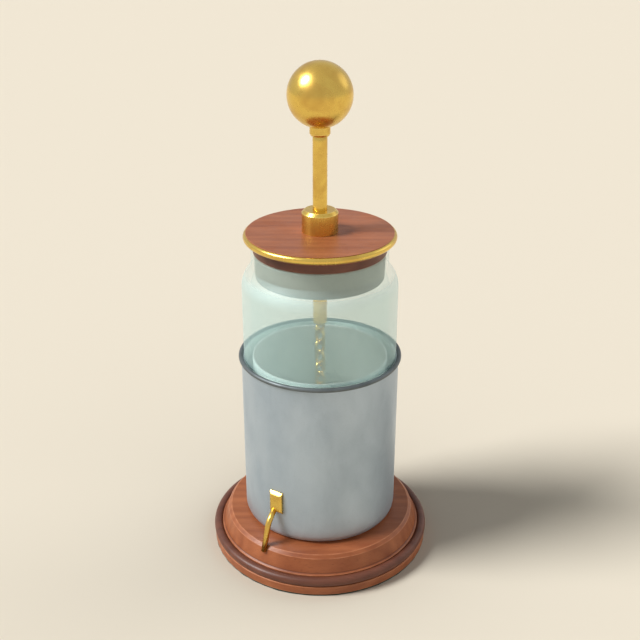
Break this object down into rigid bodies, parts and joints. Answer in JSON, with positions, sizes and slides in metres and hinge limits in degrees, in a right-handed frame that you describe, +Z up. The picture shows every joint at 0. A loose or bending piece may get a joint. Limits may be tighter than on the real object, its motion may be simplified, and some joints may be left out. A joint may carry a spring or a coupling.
{
  "type": "leyden jar",
  "caption": "Leyden jar: foil-covered glass jar on a turned wooden base, with a brass-edged lid that lifts off and a rod with a ball above and a hanging chain below.",
  "frame": {"origin": "middle of the base's underside", "axes": "+Z up along the rod; -Y is the front, with the earth clip round from it towards -X"},
  "size_m": [0.1162, 0.1162, 0.2561],
  "materials": {
    "mahogany": "waxed",
    "dark_wood": "waxed",
    "baize": "felted",
    "cork": "sanded",
    "tin": "dull tin foil",
    "pewter": "dull dark",
    "glass": "clear, slightly green",
    "brass": "polished, lightly aged",
    "screw_steel": "plain",
    "stopper_rubber": "matte grey"
  },
  "bodies": {
    "base": {"base_baize": "baize", "base_plinth": "mahogany", "base_screws": "screw_steel", "base_bead": "dark_wood", "base_step": "mahogany", "seat_pad": "cork", "outer_foil": "tin", "foil_rim_ring": "pewter", "glass_jar": "glass", "inner_foil": "tin", "earth_clip": "brass", "earth_wire": "brass"},
    "lid": {"stopper": "stopper_rubber", "lid_neck": "dark_wood", "lid_disc": "mahogany", "lid_ring": "brass", "lid_collar": "brass", "clamp_washer": "brass", "clamp_nut": "brass", "rod": "brass", "ball": "brass", "ball_ferrule": "brass", "chain_eye": "brass"},
    "link_01": {"chain_link_01": "brass"},
    "link_02": {"chain_link_02": "brass"},
    "link_03": {"chain_link_03": "brass"},
    "link_04": {"chain_link_04": "brass"},
    "link_05": {"chain_link_05": "brass"},
    "link_06": {"chain_link_06": "brass"},
    "link_07": {"chain_link_07": "brass"},
    "link_08": {"chain_link_08": "brass"},
    "link_09": {"chain_link_09": "brass"},
    "link_10": {"chain_link_10": "brass"},
    "link_11": {"chain_link_11": "brass"},
    "link_12": {"chain_link_12": "brass"},
    "link_13": {"chain_link_13": "brass"},
    "link_14": {"chain_link_14": "brass"},
    "link_15": {"chain_link_15": "brass"}
  },
  "joints": [
    {"name": "lid_lift", "type": "slide", "parent": "base", "child": "lid", "axis": [0, 0, 1], "range_m": [0, 0.15]},
    {"name": "link_01_swing", "type": "hinge", "parent": "lid", "child": "link_01", "pos_m": [0, 0, 0.12057], "axis": [-0.7071, -0.7071, 0], "range_deg": [-16.7, 16.7]},
    {"name": "link_02_swing", "type": "hinge", "parent": "link_01", "child": "link_02", "pos_m": [0, 0, 0.11437], "axis": [-0.7071, 0.7071, 0], "range_deg": [-18, 18]},
    {"name": "link_03_swing", "type": "hinge", "parent": "link_02", "child": "link_03", "pos_m": [0, 0, 0.10817], "axis": [0.7071, 0.7071, 0], "range_deg": [-19.4, 19.4]},
    {"name": "link_04_swing", "type": "hinge", "parent": "link_03", "child": "link_04", "pos_m": [0, 0, 0.10197], "axis": [0.7071, -0.7071, 0], "range_deg": [-21, 21]},
    {"name": "link_05_swing", "type": "hinge", "parent": "link_04", "child": "link_05", "pos_m": [0, 0, 0.09578], "axis": [-0.7071, -0.7071, 0], "range_deg": [-23, 23]},
    {"name": "link_06_swing", "type": "hinge", "parent": "link_05", "child": "link_06", "pos_m": [0, 0, 0.08958], "axis": [-0.7071, 0.7071, 0], "range_deg": [-25.5, 25.5]},
    {"name": "link_07_swing", "type": "hinge", "parent": "link_06", "child": "link_07", "pos_m": [0, 0, 0.08338], "axis": [0.7071, 0.7071, 0], "range_deg": [-28.5, 28.5]},
    {"name": "link_08_swing", "type": "hinge", "parent": "link_07", "child": "link_08", "pos_m": [0, 0, 0.07718], "axis": [0.7071, -0.7071, 0], "range_deg": [-32.4, 32.4]},
    {"name": "link_09_swing", "type": "hinge", "parent": "link_08", "child": "link_09", "pos_m": [0, 0, 0.07098], "axis": [-0.7071, -0.7071, 0], "range_deg": [-37.7, 37.7]},
    {"name": "link_10_swing", "type": "hinge", "parent": "link_09", "child": "link_10", "pos_m": [0, 0, 0.06479], "axis": [-0.7071, 0.7071, 0], "range_deg": [-40, 40]},
    {"name": "link_11_swing", "type": "hinge", "parent": "link_10", "child": "link_11", "pos_m": [0, 0, 0.05859], "axis": [0.7071, 0.7071, 0], "range_deg": [-40, 40]},
    {"name": "link_12_swing", "type": "hinge", "parent": "link_11", "child": "link_12", "pos_m": [0, 0, 0.05239], "axis": [0.7071, -0.7071, 0], "range_deg": [-40, 40]},
    {"name": "link_13_swing", "type": "hinge", "parent": "link_12", "child": "link_13", "pos_m": [0, 0, 0.04619], "axis": [-0.7071, -0.7071, 0], "range_deg": [-40, 40]},
    {"name": "link_14_swing", "type": "hinge", "parent": "link_13", "child": "link_14", "pos_m": [0, 0, 0.03999], "axis": [-0.7071, 0.7071, 0], "range_deg": [-40, 40]},
    {"name": "link_15_swing", "type": "hinge", "parent": "link_14", "child": "link_15", "pos_m": [0, 0, 0.0338], "axis": [0.7071, 0.7071, 0], "range_deg": [-40, 40]}
  ]
}
